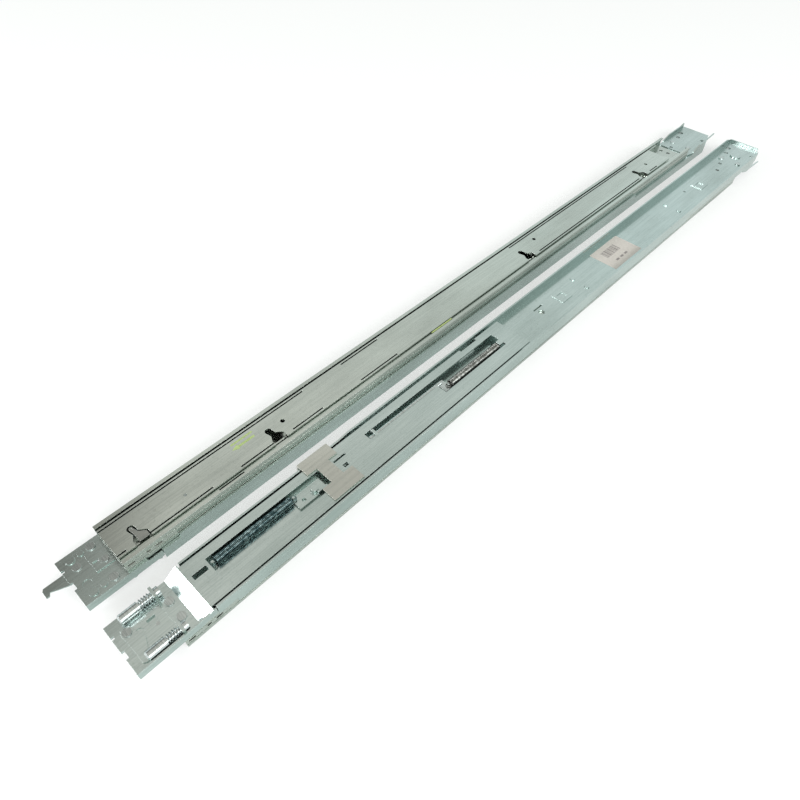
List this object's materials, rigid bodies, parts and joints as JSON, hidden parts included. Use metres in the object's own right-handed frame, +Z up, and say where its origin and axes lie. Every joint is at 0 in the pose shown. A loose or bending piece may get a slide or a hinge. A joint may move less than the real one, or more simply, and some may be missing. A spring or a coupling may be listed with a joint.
{
  "type": "sliding server rail pair",
  "caption": "Pair of telescopic server rails: ball slides on depth-adjustable zinc-plated rack brackets with sprung pegs, latches and hooked stud slots.",
  "frame": {"origin": "middle of the pair on the surface it lies on", "axes": "+X along the rails from front to rear, +Y across the pair towards the right-hand rail, +Z up"},
  "size_m": [0.9238, 0.1142, 0.023],
  "materials": {
    "zinc_sheet": "bright zinc-plated sheet",
    "warm_zinc_sheet": "zinc-plated sheet, warmer tint",
    "grey_zinc_sheet": "zinc-plated sheet, darker",
    "turned_steel": "turned and plated",
    "dark_spring_steel": "dark close-wound spring wire",
    "spring_steel": "spring steel",
    "ball_steel": "polished",
    "green_plastic": "matt"
  },
  "bodies": {
    "fixed_rails": {"left_front_bracket": "zinc_sheet", "left_guide_saddle": "warm_zinc_sheet", "left_peg_bracket": "zinc_sheet", "left_bracket_rivets": "turned_steel", "left_latch_rivet": "turned_steel", "left_latch_guard": "zinc_sheet", "left_guide_studs": "turned_steel", "left_slide_outer": "zinc_sheet", "left_lock_spring": "dark_spring_steel", "left_pull_spring": "dark_spring_steel", "left_upper_peg_spring": "spring_steel", "left_lower_peg_spring": "spring_steel", "right_front_bracket": "zinc_sheet", "right_guide_saddle": "warm_zinc_sheet", "right_peg_bracket": "zinc_sheet", "right_bracket_rivets": "turned_steel", "right_latch_rivet": "turned_steel", "right_latch_guard": "zinc_sheet", "right_guide_studs": "turned_steel", "right_slide_outer": "zinc_sheet", "right_lock_spring": "dark_spring_steel", "right_pull_spring": "dark_spring_steel", "right_upper_peg_spring": "spring_steel", "right_lower_peg_spring": "spring_steel"},
    "left_rear_channel_body": {"left_rear_channel": "zinc_sheet", "left_rear_bracket": "zinc_sheet", "left_rear_rivets": "turned_steel"},
    "left_upper_peg_body": {"left_upper_peg": "turned_steel"},
    "left_lower_peg_body": {"left_lower_peg": "turned_steel"},
    "left_hook_latch_body": {"left_hook_latch": "zinc_sheet"},
    "left_lock_slider_body": {"left_lock_slider": "zinc_sheet"},
    "left_release_rod_body": {"left_release_rod": "turned_steel"},
    "left_outer_cage_body": {"left_outer_ball_cage": "zinc_sheet", "left_outer_balls": "ball_steel"},
    "left_middle_slide_body": {"left_slide_middle": "zinc_sheet"},
    "left_inner_cage_body": {"left_inner_ball_cage": "zinc_sheet", "left_inner_balls": "ball_steel"},
    "left_inner_slide_body": {"left_slide_inner": "zinc_sheet", "left_leaf_spring": "spring_steel"},
    "left_stud_latch_body": {"left_stud_latch": "grey_zinc_sheet"},
    "left_release_tab_body": {"left_release_tab": "green_plastic"},
    "right_rear_channel_body": {"right_rear_channel": "zinc_sheet", "right_rear_bracket": "zinc_sheet", "right_rear_rivets": "turned_steel"},
    "right_upper_peg_body": {"right_upper_peg": "turned_steel"},
    "right_lower_peg_body": {"right_lower_peg": "turned_steel"},
    "right_hook_latch_body": {"right_hook_latch": "zinc_sheet"},
    "right_lock_slider_body": {"right_lock_slider": "zinc_sheet"},
    "right_release_rod_body": {"right_release_rod": "turned_steel"},
    "right_outer_cage_body": {"right_outer_ball_cage": "zinc_sheet", "right_outer_balls": "ball_steel"},
    "right_middle_slide_body": {"right_slide_middle": "zinc_sheet"},
    "right_inner_cage_body": {"right_inner_ball_cage": "zinc_sheet", "right_inner_balls": "ball_steel"},
    "right_inner_slide_body": {"right_slide_inner": "zinc_sheet", "right_leaf_spring": "spring_steel"},
    "right_stud_latch_body": {"right_stud_latch": "grey_zinc_sheet"},
    "right_release_tab_body": {"right_release_tab": "green_plastic"}
  },
  "joints": [
    {"name": "left_depth_adjust", "type": "slide", "parent": "fixed_rails", "child": "left_rear_channel_body", "axis": [1, 0, 0], "range_m": [0, 0.1]},
    {"name": "left_upper_peg_press", "type": "slide", "parent": "fixed_rails", "child": "left_upper_peg_body", "axis": [1, 0, 0], "range_m": [0, 0.0045], "stiffness_N_per_m": 300, "springref_m": -0.002, "deforming": ["left_upper_peg_spring"]},
    {"name": "left_lower_peg_press", "type": "slide", "parent": "fixed_rails", "child": "left_lower_peg_body", "axis": [1, 0, 0], "range_m": [0, 0.0045], "stiffness_N_per_m": 300, "springref_m": -0.002, "deforming": ["left_lower_peg_spring"]},
    {"name": "left_hook_turn", "type": "hinge", "parent": "fixed_rails", "child": "left_hook_latch_body", "pos_m": [-0.4373, -0.02685, 0.01505], "axis": [0, 0, -1], "range_deg": [0, 80]},
    {"name": "left_lock_slide", "type": "slide", "parent": "fixed_rails", "child": "left_lock_slider_body", "axis": [1, 0, 0], "range_m": [0, 0.006], "stiffness_N_per_m": 200, "springref_m": -0.002, "deforming": ["left_lock_spring"]},
    {"name": "left_release_pull", "type": "slide", "parent": "fixed_rails", "child": "left_release_rod_body", "axis": [-1, 0, 0], "range_m": [0, 0.008], "stiffness_N_per_m": 200, "springref_m": -0.002, "deforming": ["left_pull_spring"]},
    {"name": "left_middle_slide", "type": "slide", "parent": "fixed_rails", "child": "left_middle_slide_body", "axis": [-1, 0, 0], "range_m": [0, 0.38]},
    {"name": "left_outer_cage_slide", "type": "slide", "parent": "fixed_rails", "child": "left_outer_cage_body", "axis": [-1, 0, 0], "range_m": [0, 0.19]},
    {"name": "left_inner_slide", "type": "slide", "parent": "left_middle_slide_body", "child": "left_inner_slide_body", "axis": [-1, 0, 0], "range_m": [0, 0.38]},
    {"name": "left_inner_cage_slide", "type": "slide", "parent": "left_middle_slide_body", "child": "left_inner_cage_body", "axis": [-1, 0, 0], "range_m": [0, 0.19]},
    {"name": "left_stud_latch_press", "type": "slide", "parent": "left_inner_slide_body", "child": "left_stud_latch_body", "axis": [0, 0, 1], "range_m": [0, 0.002], "stiffness_N_per_m": 400, "springref_m": -0.001, "deforming": ["left_leaf_spring"]},
    {"name": "left_release_tab_slide", "type": "slide", "parent": "left_inner_slide_body", "child": "left_release_tab_body", "axis": [1, 0, 0], "range_m": [0, 0.006]},
    {"name": "right_depth_adjust", "type": "slide", "parent": "fixed_rails", "child": "right_rear_channel_body", "axis": [1, 0, 0], "range_m": [0, 0.1]},
    {"name": "right_upper_peg_press", "type": "slide", "parent": "fixed_rails", "child": "right_upper_peg_body", "axis": [1, 0, 0], "range_m": [0, 0.0045], "stiffness_N_per_m": 300, "springref_m": -0.002, "deforming": ["right_upper_peg_spring"]},
    {"name": "right_lower_peg_press", "type": "slide", "parent": "fixed_rails", "child": "right_lower_peg_body", "axis": [1, 0, 0], "range_m": [0, 0.0045], "stiffness_N_per_m": 300, "springref_m": -0.002, "deforming": ["right_lower_peg_spring"]},
    {"name": "right_hook_turn", "type": "hinge", "parent": "fixed_rails", "child": "right_hook_latch_body", "pos_m": [-0.4373, 0.03965, 0.00795], "axis": [0, 0, 1], "range_deg": [0, 90]},
    {"name": "right_lock_slide", "type": "slide", "parent": "fixed_rails", "child": "right_lock_slider_body", "axis": [1, 0, 0], "range_m": [0, 0.006], "stiffness_N_per_m": 200, "springref_m": -0.002, "deforming": ["right_lock_spring"]},
    {"name": "right_release_pull", "type": "slide", "parent": "fixed_rails", "child": "right_release_rod_body", "axis": [-1, 0, 0], "range_m": [0, 0.008], "stiffness_N_per_m": 200, "springref_m": -0.002, "deforming": ["right_pull_spring"]},
    {"name": "right_middle_slide", "type": "slide", "parent": "fixed_rails", "child": "right_middle_slide_body", "axis": [-1, 0, 0], "range_m": [0, 0.38]},
    {"name": "right_outer_cage_slide", "type": "slide", "parent": "fixed_rails", "child": "right_outer_cage_body", "axis": [-1, 0, 0], "range_m": [0, 0.19]},
    {"name": "right_inner_slide", "type": "slide", "parent": "right_middle_slide_body", "child": "right_inner_slide_body", "axis": [-1, 0, 0], "range_m": [0, 0.38]},
    {"name": "right_inner_cage_slide", "type": "slide", "parent": "right_middle_slide_body", "child": "right_inner_cage_body", "axis": [-1, 0, 0], "range_m": [0, 0.19]},
    {"name": "right_stud_latch_press", "type": "slide", "parent": "right_inner_slide_body", "child": "right_stud_latch_body", "axis": [0, 0, -1], "range_m": [0, 0.002], "stiffness_N_per_m": 400, "springref_m": -0.001, "deforming": ["right_leaf_spring"]},
    {"name": "right_release_tab_slide", "type": "slide", "parent": "right_inner_slide_body", "child": "right_release_tab_body", "axis": [1, 0, 0], "range_m": [0, 0.006]}
  ],
  "couplings": [
    {"joint": "left_outer_cage_slide", "follows": "left_middle_slide", "ratio": 0.5},
    {"joint": "left_inner_cage_slide", "follows": "left_inner_slide", "ratio": 0.5},
    {"joint": "right_outer_cage_slide", "follows": "right_middle_slide", "ratio": 0.5},
    {"joint": "right_inner_cage_slide", "follows": "right_inner_slide", "ratio": 0.5}
  ]
}
